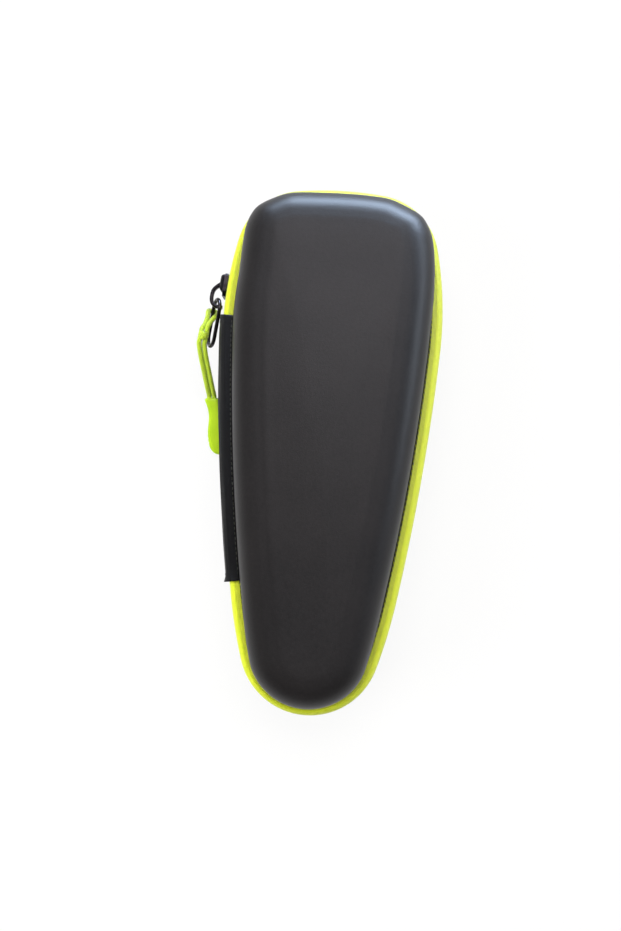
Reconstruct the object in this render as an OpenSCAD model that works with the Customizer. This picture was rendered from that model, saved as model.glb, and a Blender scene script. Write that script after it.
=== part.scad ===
// Hard case for an electric shaver: two moulded shells, a zip band round the rim,
// a fabric hinge down one side and a wire and cord pull on the zip slider.
// The case lies on its back: +Z comes out of the lid and +Y points to the wide head end.

/* [Outline] */
// Radius of the narrow foot end, at the outer edge of the zip band
foot_r = 29; // [24:0.5:34]
// Radius of the short curve between the foot and the long side
shoulder_r = 210; // [150:5:300]
// Radius of the long, nearly straight side
side_r = 930; // [800:10:1200]
// Radius of the side beside the head
flank_r = 155; // [130:5:180]
// Radius of the two head corners
corner_r = 28; // [24:0.5:32]
// Radius of the flat curve across the head end
head_r = 140; // [110:5:200]
// Direction of the outline's normal where the foot curve ends, below square to the side
foot_tilt = 17; // [14:0.5:20]
// The same where the shoulder curve ends
shoulder_tilt = 9.5; // [8:0.5:11]
// The same where the long side ends
side_tilt = 3; // [2:0.5:4]
// Direction of the normal where the flank ends, above square to the side
flank_tilt = 13; // [11:0.5:15]

/* [Shells] */
// Depth of each half, from the parting plane to its flat outer face
half_depth = 28; // [25:0.5:34]
// Thickness of the moulded shell
shell_t = 2; // [1.5:0.1:2.6]
// Radius of the shell's rounded edge
edge_r = 13; // [10:0.5:16]
// How much narrower the wall is at the rounded edge than at the flange
draft = 0.4; // [0.2:0.1:1.2]
// Height of the soft crown on the lid
crown = 1.2; // [0.5:0.1:2]
// Thickness of the sewing flange round each shell
flange_t = 1.5; // [1:0.1:2]
// Distance from the band's outer edge to the shell wall
wall_inset = 5.4; // [5:0.1:7]
// Distance from the band's outer edge to the flange's edge
flange_inset = 2.6; // [2.5:0.1:3]
// Distance from the parting plane to the inside of the flange
flange_h = 5.2; // [5.2:0.1:6.5]
// Thickness of the lining
lining_t = 0.8; // [0.5:0.1:1.2]
// Thickness of the binding tape over the inside seam
binding_t = 0.6; // [0.4:0.1:0.7]

/* [Zip] */
// Thickness of the zip tape
tape_t = 0.6; // [0.4:0.1:0.7]
// Thickness of one row of the zip coil
coil_t = 1.4; // [1.1:0.1:1.5]
// Height of one row of the zip coil
coil_h = 2.2; // [1.6:0.1:2.6]
// Half of the gap between the closed zip halves
closed_gap = 0.15; // [0.1:0.05:0.3]
// Half of the gap that the slider's neck runs in
open_gap = 0.85; // [0.8:0.05:1]
// Height of the slider's middle along the case
slider_y = 66; // [64:0.5:70]
// Length of the slider
slider_l = 9.6; // [9:0.1:10.5]
// Width of the slider across both rows
slider_w = 9.6; // [9:0.1:9.8]
// Thickness of each slider plate
plate_t = 1.2; // [1:0.1:1.3]

/* [Hinge] */
// Upper end of the fabric hinge
hinge_top_y = 53; // [50:0.5:54]
// Lower end of the fabric hinge
hinge_low_y = -57; // [-60:1:-45]
// Thickness of the hinge fabric
hinge_t = 0.55; // [0.4:0.05:0.7]

/* [Pull] */
// Diameter of the pull's wire
wire_d = 1.6; // [1.2:0.1:1.7]
// Width of the wire loop between the middles of its limbs
loop_w = 8.4; // [8:0.1:9]
// Length of the wire loop between the middles of its ends
loop_l = 20; // [18:0.5:22]
// Diameter of the pull cord
cord_d = 2.1; // [1.8:0.1:2.3]
// Length of the moulded tag
tag_l = 25; // [20:0.5:28]
// Width of the moulded tag
tag_w = 6.4; // [5.6:0.1:7]
// Thickness of the moulded tag
tag_t = 3.4; // [2.6:0.1:3.8]

/* [Inside] */
// Width of the elastic strap across the base
strap_w = 24; // [18:1:30]
// Where the strap crosses the case
strap_y = 12; // [0:1:30]
// Upper edge of the mesh pocket in the lid
pocket_y = 34; // [20:1:44]
// Width of the elastic hem on the pocket
hem_w = 7; // [5:0.5:9]

/* [Hidden] */
$fn = 48;
seam_gap = 0.05;
run_gap = 0.3;
band_h = flange_h + flange_t + seam_gap + tape_t;

// Centres of the outline's arcs on the right side, foot first, each tangent to the last.
function along(a) = [cos(a), sin(a)];
foot_c = [0, 0];
shoulder_c = foot_c + (foot_r - shoulder_r) * along(-foot_tilt);
side_c = shoulder_c + (shoulder_r - side_r) * along(-shoulder_tilt);
flank_c = side_c + (side_r - flank_r) * along(-side_tilt);
corner_c = flank_c + (flank_r - corner_r) * along(flank_tilt);
head_tilt = acos(corner_c.x / (head_r - corner_r));
head_c = corner_c + (corner_r - head_r) * along(head_tilt);
case_l = head_c.y + head_r + foot_r;
outline_shift = foot_r - case_l / 2;
ARCS = [[-foot_tilt, foot_c, foot_r], [-shoulder_tilt, shoulder_c, shoulder_r],
    [-side_tilt, side_c, side_r], [flank_tilt, flank_c, flank_r],
    [head_tilt, corner_c, corner_r], [90, head_c, head_r]];

// Point of the outline whose normal points at angle a, moved outward by o.
function arc_at(a, i = 0) = a <= ARCS[i][0] || i == len(ARCS) - 1 ? ARCS[i] : arc_at(a, i + 1);
function right_point(a, o) = let (arc = arc_at(a)) arc[1] + (arc[2] + o) * along(a)
    + [0, outline_shift];
function rim(a, o = 0) = a > 90 ? let (p = right_point(180 - a, o)) [-p.x, p.y]
    : right_point(a, o);

// Directions of the outline's stations, anticlockwise from the foot, for a full turn.
function steps(from, to, n) = [for (i = [0 : n - 1]) from + (to - from) * i / n];
RIGHT = concat(steps(-90, -foot_tilt, 7), steps(-foot_tilt, -shoulder_tilt, 2),
    steps(-shoulder_tilt, -side_tilt, 3), steps(-side_tilt, flank_tilt, 3),
    steps(flank_tilt, head_tilt, 6), [head_tilt]);
ROUND = concat(RIGHT, [90], [for (i = [len(RIGHT) - 1 : -1 : 1]) 180 - RIGHT[i]]);
function stations(from, to) = concat([from],
    [for (turn = [0, 360], a = ROUND) if (a + turn > from + 0.2 && a + turn < to - 0.2) a + turn],
    [to]);
function wrapped(a) = a >= 270 ? a - 360 : a;

// Where the hinge and the zip end on the left side.
flank_y = flank_c.y + outline_shift;
side_y = side_c.y + outline_shift;
hinge_top_a = 180 - asin((hinge_top_y - flank_y) / flank_r);
hinge_low_a = 180 - asin((hinge_low_y - side_y) / side_r);
slider_a = 180 - asin((slider_y - flank_y) / flank_r);
zip_lap = 1.4;
zip_top_a = hinge_top_a + zip_lap;
zip_low_a = hinge_low_a - zip_lap / 6;
flank_end_a = 180 - flank_tilt;
ZIP = stations(zip_low_a, zip_top_a + 360);
FRONT_ZIP = stations(zip_low_a, flank_end_a + 360);
ZIP_END = stations(flank_end_a, zip_top_a);
HINGE = concat(steps(hinge_top_a, hinge_low_a, 12), [hinge_low_a]);

// Closed skin over a list of loops of points, joined end to end where closed is set.
module skin(loops, closed = false) {
    m = len(loops);
    n = len(loops[0]);
    sides = [for (i = [0 : m - (closed ? 1 : 2)], j = [0 : n - 1])
        let (a = i * n + j, b = i * n + (j + 1) % n,
            c = (i + 1) % m * n + (j + 1) % n, d = (i + 1) % m * n + j)
        each [[a, b, c], [a, c, d]]];
    ends = closed ? [] : [[for (j = [n - 1 : -1 : 0]) j], [for (j = [0 : n - 1]) (m - 1) * n + j]];
    polyhedron(points = [for (l = loops, p = l) p], faces = concat(sides, ends), convexity = 8);
}

// A band swept along stations of the outline, with its section in outward and upward places.
module band(section, at, closed = false) {
    skin([for (a = at) [for (s = section(a)) let (p = rim(wrapped(a), s.x)) [p.x, p.y, s.y]]],
        closed);
}

// A moulded skin stacked from rows of outward place, height and share of the full outline.
module moulding(rows) {
    skin([for (r = rows) [for (a = ROUND) let (p = rim(a, r.x) * r.z) [p.x, p.y, r.y]]]);
}

// Rows of the dome, set in by t, from its middle out to the height low.
function dome_rows(t, low, lift) = let (
        round_o = -wall_inset - draft - edge_r, round_h = half_depth - edge_r, r = edge_r - t)
    concat([for (k = [0.3, 0.62, 0.86]) if (lift > 0) [round_o, half_depth - t + lift * (1 - k * k), k]],
        [for (a = [90, 76, 60, 44, 28, 12]) [round_o + r * cos(a), round_h + r * sin(a), 1]],
        [[-wall_inset - draft * 0.5 - t, (round_h + low) / 2, 1], [-wall_inset - t, low, 1]]);
function reversed(list) = [for (i = [len(list) - 1 : -1 : 0]) list[i]];

module half_shell(lift) {
    moulding(concat(dome_rows(0, flange_h + flange_t, lift),
        [[-flange_inset, flange_h + flange_t, 1], [-flange_inset, flange_h, 1]],
        reversed(dome_rows(shell_t, flange_h, lift))));
}

module half_lining(lift) {
    outer = shell_t + seam_gap;
    rim_h = flange_h + seam_gap;
    moulding(concat(dome_rows(outer, rim_h, lift), reversed(dome_rows(outer + lining_t, rim_h, lift))));
}

module flat_ring(outer_o, inner_o, low, height) {
    translate([0, 0, low])
        linear_extrude(height)
            difference() {
                polygon([for (a = ROUND) rim(a, outer_o)]);
                polygon([for (a = ROUND) rim(a, inner_o)]);
            }
}

// Binding tape that closes the seam where the lining, shell and zip tape are sewn.
module half_binding() {
    flat_ring(-wall_inset + 0.4, -wall_inset - shell_t, flange_h - seam_gap - binding_t, binding_t);
}

// Section of the zip tape: flat on the flange, then rolled over to the parting plane.
function tape_section(gap) = [
    [-wall_inset + 0.4, band_h], [-wall_inset + 0.4, band_h - tape_t],
    [-flange_inset + seam_gap, band_h - tape_t], [-tape_t - 1.5, band_h - 1.2],
    [-tape_t - 0.45, band_h - 2.3], [-tape_t, gap + 2], [-tape_t, gap],
    [0, gap], [0, gap + 2], [-0.45, band_h - 1.95], [-1.5, band_h - 0.5], [-2.9, band_h]];

function coil_section(gap) = let (outer = -tape_t - 0.15) [
    [outer - coil_t, gap + coil_h], [outer - coil_t, gap], [outer, gap], [outer, gap + coil_h]];

// The rows stand further apart where the slider's neck runs between them.
function gap_at(a) = let (w = a >= 360 ? a - 360 : a)
    w > flank_end_a - 0.1 && w < zip_top_a + 0.1 ? open_gap : closed_gap;

module above_parting() {
    translate([0, 0, half_depth]) children();
}

module below_parting() {
    translate([0, 0, half_depth]) mirror([0, 0, 1]) children();
}

module rear_shell() {
    color("#2c2b2c") below_parting() half_shell(0);
}

module rear_lining() {
    color("#3a3a3d") below_parting() half_lining(0);
}

module rear_binding() {
    color("#222224") below_parting() half_binding();
}

module rear_zip_tape() {
    color("#d9ee2e") below_parting() band(function (a) tape_section(gap_at(a)), ZIP);
}

module rear_zip_coil() {
    color("#b9cf22") below_parting() band(function (a) coil_section(gap_at(a)), ZIP);
}

module front_shell() {
    color("#3a3838") above_parting() half_shell(crown);
}

module front_lining() {
    color("#3a3a3d") above_parting() half_lining(crown);
}

module front_binding() {
    color("#222224") above_parting() half_binding();
}

module front_zip_tape() {
    color("#d9ee2e") above_parting() band(function (a) tape_section(gap_at(a)), FRONT_ZIP);
}

module front_zip_coil() {
    color("#b9cf22") above_parting() band(function (a) coil_section(gap_at(a)), FRONT_ZIP);
}

// The soft stretch of the lid's tape and coil that runs through the slider.
module front_tape_end() {
    color("#d9ee2e") above_parting() band(function (a) tape_section(open_gap), ZIP_END);
}

module front_coil_end() {
    color("#b9cf22") above_parting() band(function (a) coil_section(open_gap), ZIP_END);
}

// Half of the hinge fabric's section, from its hem on the flange to the parting plane.
cover_in = band_h + 0.1;
function cover_half(t) = [[-wall_inset + 0.5, cover_in + t], [-3, cover_in + t],
    [-1.3 + t * 0.6, cover_in - 0.5 + t * 0.8], [0.1 + t, 5.2], [0.65 + t, 2.5]];
function liner_half(t) = [[-wall_inset - shell_t + 0.2, flange_h - binding_t - 0.2 - t],
    [-4.9 - t * 0.4, flange_h - binding_t - 0.25 - t], [-3.3 - t, 2.8 - t * 0.3], [-3 - t, 0.9]];
function flipped(list) = [for (p = reversed(list)) [p.x, -p.y]];

module hinge_cover() {
    outer = cover_half(hinge_t);
    inner = cover_half(0);
    color("#1b1b1c") above_parting()
        band(function (a) concat(inner, flipped(inner), reversed(concat(outer, flipped(outer)))), HINGE);
}

module hinge_liner() {
    outer = liner_half(0);
    inner = liner_half(hinge_t);
    color("#1b1b1c") above_parting()
        band(function (a) concat(inner, flipped(inner), reversed(concat(outer, flipped(outer)))), HINGE);
}

// Places a piece on the outline: X outward, Y anticlockwise, Z up from the parting plane.
module on_rim(a, o = 0) {
    p = rim(a, o);
    translate([p.x, p.y, half_depth]) rotate([0, 0, a]) children();
}

// Sewn stops across the rear coil at both ends of the zip, under the hinge cover.
module zip_end_stops() {
    stop_o = -tape_t - 0.15 - coil_t - seam_gap;
    color("#1b1b1c")
        for (a = [zip_top_a - 0.45, zip_low_a + 0.09])
            on_rim(a)
                translate([stop_o - 0.5, -1, -open_gap - coil_h])
                    cube([0.5, 2, coil_h]);
}

// Room inside the lining, drawn in by gap and cut between two heights along the case.
module room(gap, low_y, high_y) {
    intersection() {
        polygon([for (a = ROUND) rim(a, -wall_inset - shell_t - lining_t - draft - gap)]);
        translate([-100, low_y]) square([200, high_y - low_y]);
    }
}

strap_h = flange_h + 1.2;
module elastic_strap() {
    color("#232325") below_parting()
        translate([0, 0, strap_h])
            linear_extrude(1)
                room(0.1, strap_y - strap_w / 2, strap_y + strap_w / 2);
}

module strap_anchors() {
    color("#1b1b1c") below_parting()
        translate([0, 0, strap_h - 0.65])
            linear_extrude(0.6)
                difference() {
                    room(0.1, strap_y - strap_w / 2, strap_y + strap_w / 2);
                    room(6, strap_y - strap_w, strap_y + strap_w);
                }
}

pocket_h = flange_h + 3;
module mesh_pocket() {
    color("#2a2a2c") above_parting()
        translate([0, 0, pocket_h])
            linear_extrude(0.6)
                room(0.1, -case_l, pocket_y);
}

module pocket_elastic() {
    color("#1b1b1c") above_parting()
        translate([0, 0, pocket_h - 0.3])
            linear_extrude(1.2)
                room(0.1, pocket_y + seam_gap, pocket_y + hem_w);
}

// Slider plates lie either side of the two tapes and coils, with wings along their edges.
plate_in = run_gap;
coil_in = -tape_t - 0.15 - coil_t - run_gap;
wing_w = 0.9;
neck_t = 1;
module slider_plate() {
    nose = slider_w * 0.36;
    linear_extrude(plate_t)
        polygon([[-slider_l / 2, -nose], [-slider_l / 2 + 2, -slider_w / 2], [slider_l / 2 - 1, -slider_w / 2],
            [slider_l / 2, -slider_w / 2 + 1], [slider_l / 2, slider_w / 2 - 1],
            [slider_l / 2 - 1, slider_w / 2], [-slider_l / 2 + 2, slider_w / 2], [-slider_l / 2, nose]]);
}

module slider_body() {
    color("#2f2c31") on_rim(slider_a) {
        translate([plate_in, 0, 0])
            rotate([90, 0, 90]) mirror([1, 0, 0]) slider_plate();
        translate([coil_in - plate_t, 0, 0])
            rotate([90, 0, 90]) mirror([1, 0, 0]) slider_plate();
        translate([coil_in, slider_l / 2 - 2, -neck_t / 2])
            cube([plate_in - coil_in, 1.8, neck_t]);
        for (side = [-1, 1]) {
            translate([coil_in, -slider_l / 2 + 1.2, side * (slider_w / 2 - wing_w / 2) - wing_w / 2])
                cube([0.7, slider_l - 4, wing_w]);
            translate([plate_in - 0.3, -slider_l / 2 + 1.2, side * (slider_w / 2 - wing_w / 2) - wing_w / 2])
                cube([0.3, slider_l - 4, wing_w]);
        }
    }
}

// The bridge stands on the outer plate and runs on past its lower end, round the wire.
bridge_w = 2;
bridge_t = 1.3;
bridge_h = 5.6;
bridge_low = slider_l / 2 + 4.7;
bridge_top = -1.6;
plate_out = plate_in + plate_t;
module slider_bridge() {
    mid = (bridge_top + bridge_low) / 2;
    half = (bridge_low - bridge_top) / 2;
    arch = function (r, h) [for (a = [0 : 15 : 180])
        [plate_out + h * pow(sin(a), 0.7), mid - r * cos(a)]];
    outer = arch(half, bridge_h);
    inner = arch(half - bridge_t, bridge_h - bridge_t);
    tongue = slider_l / 2 + seam_gap;
    color("#2f2c31") on_rim(slider_a)
        translate([seam_gap, 0, -bridge_w / 2])
            linear_extrude(bridge_w)
                polygon(concat(outer, [[plate_in, bridge_low - 0.4], [plate_in, tongue],
                    [plate_out - seam_gap, tongue]], reversed(inner)));
}

// The pull hangs from this point of the slider, out from the rim and just past its lower end.
pin_out = 3.3;
pin_down = slider_l / 2 + 1.1;
loop_turn = 26;
loop_droop = 16;
loop_lean = 3;
module at_pin() {
    on_rim(slider_a) translate([pin_out, pin_down, 0]) children();
}

// In the loop, Y runs down its length, Z across to its upper limb and X out of its plane.
module in_loop() {
    at_pin() rotate([-loop_droop, 0, 0]) rotate([0, 0, -loop_lean]) rotate([0, -loop_turn, 0]) children();
}

module pull_wire() {
    r = loop_w / 2;
    straight = loop_l - loop_w;
    color("#3b383c") in_loop() {
        for (end = [0, 1])
            translate([0, r + end * straight, 0])
                rotate([0, 90, 0])
                    rotate([0, 0, 180 - end * 180])
                        rotate_extrude(angle = 180)
                            translate([r, 0]) circle(d = wire_d, $fn = 16);
        for (side = [-1, 1])
            translate([0, r, side * r])
                rotate([-90, 0, 0])
                    cylinder(d = wire_d, h = straight, $fn = 16);
    }
}

// A cord drawn as a tube of eight sides through its route points.
module cord(route, d) {
    last = len(route) - 1;
    loops = [for (i = [0 : last])
        let (ahead = route[min(i + 1, last)] - route[max(i - 1, 0)], along = ahead / norm(ahead),
            side = cross(along, [0.2, 0.3, 1]), right = side / norm(side), up = cross(right, along))
        [for (k = [0 : 7]) route[i] + d / 2 * (cos(k * 45) * right + sin(k * 45) * up)]];
    skin(loops);
}

// The cord passes round the loop's outer limb, and both legs run into the knot.
limb = loop_w / 2;
wrap = wire_d / 2 + cord_d / 2 + 0.25;
bight_y = 6;
knot_d = 4.6;
knot_h = 4;
knot_y = 13.6;
knot_x = 3.6;
module cord_bight() {
    route = [[knot_x + 0.9, knot_y - 0.4, -0.8], [knot_x - 0.3, 11.2, -1.5],
        [wrap + 0.3, 8.2, -2.8], [wrap, bight_y + 0.4, -limb],
        [wrap * 0.7, bight_y - 0.1, -limb - wrap * 0.7], [0, bight_y - 0.2, -limb - wrap],
        [-wrap * 0.7, bight_y - 0.1, -limb - wrap * 0.7], [-wrap, bight_y + 0.4, -limb],
        [-wrap * 0.7, 7, -limb + wrap * 0.9], [0, 8, -limb + wrap * 1.4],
        [1.6, 10, -0.1], [knot_x - 1, 12, 0.7], [knot_x - 0.9, knot_y - 0.4, 0.8]];
    color("#bde132") in_loop() cord(route, cord_d);
}

module cord_knot() {
    r = knot_d / 2;
    color("#bde132") in_loop()
        translate([knot_x, knot_y, 0])
            rotate([-90, 0, 0])
                rotate_extrude()
                    polygon([[0, 0], [r - 0.3, 0], [r, 1], [r - 0.35, knot_h / 2], [r, knot_h - 1],
                        [r - 0.3, knot_h], [0, knot_h]]);
}

// The tag hangs here below the pin; the two strands run to it from under the knot.
tag_at = [-1.1, 39.5, -20.6];
tag_dip = 10;
tag_swing = 12;
strand = cord_d / 2 + 0.1;
module cord_strands() {
    color("#bde132") at_pin()
        for (side = [-1, 1])
            cord([for (p = [[4.25, 17.5, -3.05], [4.3, 19.4, -3.9], [3.2, 24, -7], [1.4, 30, -12],
                [-0.2, 35.5, -17], tag_at - [0, 1, -0.2]]) p + side * strand * [0.94, 0, 0.34]], cord_d);
}

// Moulded tag, bent once to each side, with a round nose at its lower end.
module pull_tag() {
    bend = 1.7;
    middle = function (t) bend * (1 - cos(180 * min(1, t * 1.25))) / 2;
    half = function (t) tag_w / 2 * (t < 0.8 ? 1 - 0.09 * sin(450 * t) : sqrt(1 - pow((t - 0.8) / 0.26, 2)));
    row = function (h, share) concat(
        [for (i = [0 : 12]) let (t = i / 12) [-middle(t) - half(t) * share, t * tag_l + (1 - share) * 3, h]],
        [for (i = [12 : -1 : 0]) let (t = i / 12) [-middle(t) + half(t) * share, t * tag_l + (1 - share) * 3, h]]);
    color("#b5dc22") at_pin()
        translate(tag_at) rotate([-tag_dip, 0, 0]) rotate([0, 0, tag_swing])
            skin([row(-tag_t / 2, 0.8), row(-tag_t / 4, 1), row(tag_t / 4, 1), row(tag_t / 2, 0.8)]);
}

rear_shell();
rear_lining();
rear_binding();
rear_zip_tape();
rear_zip_coil();
front_shell();
front_lining();
front_binding();
front_zip_tape();
front_zip_coil();
front_tape_end();
front_coil_end();
hinge_cover();
hinge_liner();
zip_end_stops();
elastic_strap();
strap_anchors();
mesh_pocket();
pocket_elastic();
slider_body();
slider_bridge();
pull_wire();
cord_bight();
cord_knot();
cord_strands();
pull_tag();
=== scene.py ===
import math

import bmesh
import bpy
import numpy as np
from mathutils import Matrix, Vector


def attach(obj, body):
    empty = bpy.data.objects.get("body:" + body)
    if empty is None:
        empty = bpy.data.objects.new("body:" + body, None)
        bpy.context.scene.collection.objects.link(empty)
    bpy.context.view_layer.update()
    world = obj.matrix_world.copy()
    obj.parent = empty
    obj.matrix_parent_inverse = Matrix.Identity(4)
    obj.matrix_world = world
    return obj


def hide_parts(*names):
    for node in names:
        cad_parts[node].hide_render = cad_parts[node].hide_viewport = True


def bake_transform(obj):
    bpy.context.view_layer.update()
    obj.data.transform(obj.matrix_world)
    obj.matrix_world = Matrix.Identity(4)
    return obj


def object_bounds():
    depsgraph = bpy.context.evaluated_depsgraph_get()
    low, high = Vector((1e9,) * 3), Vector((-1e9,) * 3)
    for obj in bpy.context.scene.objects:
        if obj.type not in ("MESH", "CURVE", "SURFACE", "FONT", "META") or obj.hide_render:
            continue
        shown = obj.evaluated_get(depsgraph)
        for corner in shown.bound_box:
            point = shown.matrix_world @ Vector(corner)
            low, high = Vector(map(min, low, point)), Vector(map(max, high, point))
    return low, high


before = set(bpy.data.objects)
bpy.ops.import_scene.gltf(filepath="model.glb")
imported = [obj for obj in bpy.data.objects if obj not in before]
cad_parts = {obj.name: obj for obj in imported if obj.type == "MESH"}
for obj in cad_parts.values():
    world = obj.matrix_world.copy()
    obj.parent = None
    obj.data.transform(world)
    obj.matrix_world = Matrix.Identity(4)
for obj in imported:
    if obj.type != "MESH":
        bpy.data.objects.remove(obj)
cad_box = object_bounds()

# Sizes in millimetres, the same as in the part's source
MM = 0.001
FOOT_R, SHOULDER_R, SIDE_R, FLANK_R, CORNER_R, HEAD_R = 29.0, 210.0, 930.0, 155.0, 28.0, 140.0
FOOT_TILT, SHOULDER_TILT, SIDE_TILT, FLANK_TILT = 17.0, 9.5, 3.0, 13.0
HALF_DEPTH = 28.0
SHELL_T = 2.0
EDGE_R = 13.0
DRAFT = 0.4
CROWN = 1.2
FLANGE_T = 1.5
WALL_INSET = 5.4
FLANGE_INSET = 2.6
FLANGE_H = 5.2
LINING_T = 0.8
SEAM = 0.05
BAND_H = FLANGE_H + FLANGE_T + SEAM + 0.6
CLOSED_GAP = 0.15
OPEN_GAP = 0.85
SLIDER_Y = 66.0
SLIDER_L = 9.6
HINGE_TOP_Y = 53.0
HINGE_LOW_Y = -57.0
WIRE_D = 1.6
LOOP_W = 8.4
LOOP_L = 20.0
CORD_D = 2.1
TAG_L = 25.0
TAG_W = 6.4
TAG_T = 3.4
STRAP_Y, STRAP_W = 12.0, 24.0
POCKET_Y, HEM_W = 34.0, 7.0
COIL_PITCH = 1.3
COIL_WIRE_R = 0.24

# Places outward of the outline: where the tape is sewn down, its dark stitches, which also paint the shade
# of the gap by the wall, and the inner face of the lining
SEWN = -WALL_INSET + 0.4
STITCH_SHADE_ROW = -WALL_INSET + 0.62
INSIDE = -WALL_INSET - SHELL_T - LINING_T - DRAFT - 0.3

# Half the width of the flat faces, about, for distances across them
HALF_FACE = 40

# Degrees of the flank's arc by which the zip band runs on under the hinge cloth
TUCK = 1.4


# Camera, fitted to the outlines of the lid and of the zip band in the photograph
def make_camera():
    place = Vector((13.4, -34.0, 458.0)) * MM
    target = Vector((-5.0, -6.9, 28.0)) * MM
    roll = math.radians(4.09)
    forward = (target - place).normalized()
    right = forward.cross(Vector((0, 1, 0))).normalized()
    up = right.cross(forward)
    side = right * math.cos(roll) + up * math.sin(roll)
    top = up * math.cos(roll) - right * math.sin(roll)
    data = bpy.data.cameras.new("camera")
    data.sensor_fit = "HORIZONTAL"
    data.sensor_width = 36.0
    data.lens = 60.05
    data.clip_start = 0.01
    data.clip_end = 20.0
    camera = bpy.data.objects.new("camera", data)
    bpy.context.scene.collection.objects.link(camera)
    camera.matrix_world = Matrix((
        (side.x, top.x, -forward.x, place.x),
        (side.y, top.y, -forward.y, place.y),
        (side.z, top.z, -forward.z, place.z),
        (0, 0, 0, 1)))
    bpy.context.scene.camera = camera


make_camera()


# Outline of the case: arcs tangent to each other, given by the direction of the normal
def along(angle):
    return np.array([math.cos(math.radians(angle)), math.sin(math.radians(angle))])


def arc_list():
    foot = np.zeros(2)
    shoulder = foot + (FOOT_R - SHOULDER_R) * along(-FOOT_TILT)
    side = shoulder + (SHOULDER_R - SIDE_R) * along(-SHOULDER_TILT)
    flank = side + (SIDE_R - FLANK_R) * along(-SIDE_TILT)
    corner = flank + (FLANK_R - CORNER_R) * along(FLANK_TILT)
    head_tilt = math.degrees(math.acos(corner[0] / (HEAD_R - CORNER_R)))
    head = corner + (CORNER_R - HEAD_R) * along(head_tilt)
    shift = np.array([0, FOOT_R - (head[1] + HEAD_R + FOOT_R) / 2])
    limits = (-FOOT_TILT, -SHOULDER_TILT, -SIDE_TILT, FLANK_TILT, head_tilt, 90.0)
    centres = (foot, shoulder, side, flank, corner, head)
    radii = (FOOT_R, SHOULDER_R, SIDE_R, FLANK_R, CORNER_R, HEAD_R)
    return [(a, c + shift, r) for a, c, r in zip(limits, centres, radii)]


ARCS = arc_list()
TURNS = [-90.0] + [a for a, c, r in ARCS] + [180 - a for a, c, r in ARCS[-2::-1]] + [270.0]
RADII = [r for a, c, r in ARCS] + [r for a, c, r in ARCS[::-1]]
RUNS = np.concatenate([[0], np.cumsum(np.radians(np.diff(TURNS)) * RADII)])
ROUND = RUNS[-1]


def place_on_rim(angle):
    """Point of the outline and its outward normal, for one direction of the normal."""
    angle = (angle + 90) % 360 - 90
    turned = 180 - angle if angle > 90 else angle
    centre, radius = next((c, r) for a, c, r in ARCS if turned <= a + 1e-9)
    point = centre + radius * along(turned)
    if angle > 90:
        point = point * (-1, 1)
    return point, along(angle)


def run_of(angle):
    return float(np.interp(angle, TURNS, RUNS))


def stations(start, end, count):
    """Stations spread evenly along the outline: (distance from the foot, point, normal)."""
    found = []
    for run in np.linspace(start, end, count):
        point, normal = place_on_rim(float(np.interp(run % ROUND, RUNS, TURNS)))
        found.append((run, point, normal))
    return found


def whole_rim(count):
    return stations(0, ROUND * (1 - 1 / count), count)


def angle_at_height(y, arc):
    centre, radius = ARCS[arc][1], ARCS[arc][2]
    return 180 - math.degrees(math.asin((y - centre[1]) / radius))


SLIDER_A = angle_at_height(SLIDER_Y, 3)
HINGE_TOP_A = angle_at_height(HINGE_TOP_Y, 3)
HINGE_LOW_A = angle_at_height(HINGE_LOW_Y, 2)
ZIP_TOP = run_of(HINGE_TOP_A + TUCK)
ZIP_LOW = run_of(HINGE_LOW_A - TUCK * FLANK_R / SIDE_R)
HINGE_TOP = run_of(HINGE_TOP_A)
HINGE_LOW = run_of(HINGE_LOW_A)
FLANK_END = run_of(180 - FLANK_TILT)
SLIDER = run_of(SLIDER_A)


# Mesh helpers
def finish_mesh(name, verts, faces, uvs, body, slot, node=None):
    """A smooth-shaded piece in millimetres that takes its finish, its CAD node and its body."""
    mesh = bpy.data.meshes.new(name)
    mesh.from_pydata([tuple(float(x) * MM for x in v) for v in verts], [], faces)
    layer = mesh.uv_layers.new(name="UVMap")
    layer.data.foreach_set("uv", np.array(uvs, float).ravel() * MM)
    work = bmesh.new()
    work.from_mesh(mesh)
    bmesh.ops.recalc_face_normals(work, faces=work.faces)
    work.to_mesh(mesh)
    work.free()
    mesh.polygons.foreach_set("use_smooth", [True] * len(mesh.polygons))
    piece = bpy.data.objects.new(name, mesh)
    bpy.context.scene.collection.objects.link(piece)
    mesh.materials.append(MATERIALS[slot])
    if node:
        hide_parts(*([node] if isinstance(node, str) else node))
    if body:
        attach(piece, body)
    return piece


def grid(rows, us, vs, wrap_rows=False, wrap_columns=False, caps=False):
    """Faces and UVs of a net of points; rows run along us and columns along vs."""
    m, n = len(rows), len(rows[0])
    verts = [p for row in rows for p in row]
    faces, uvs = [], []
    for i in range(m if wrap_rows else m - 1):
        for j in range(n if wrap_columns else n - 1):
            k, l = (i + 1) % m, (j + 1) % n
            faces.append((i * n + j, i * n + l, k * n + l, k * n + j))
            uvs += [(us[i], vs[j]), (us[i], vs[j + 1]), (us[i + 1], vs[j + 1]), (us[i + 1], vs[j])]
    if caps:
        for start in (0, (m - 1) * n):
            faces.append(tuple(range(start, start + n)))
            uvs += [(us[0], v) for v in vs[:n]]
    return verts, faces, uvs


def spread(points):
    """Distances along a chain of points, closed by one more entry."""
    points = [np.array(p, float) for p in points]
    steps = [np.linalg.norm(b - a) for a, b in zip(points, points[1:] + points[:1])]
    return [0.0] + list(np.cumsum(steps))


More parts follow.
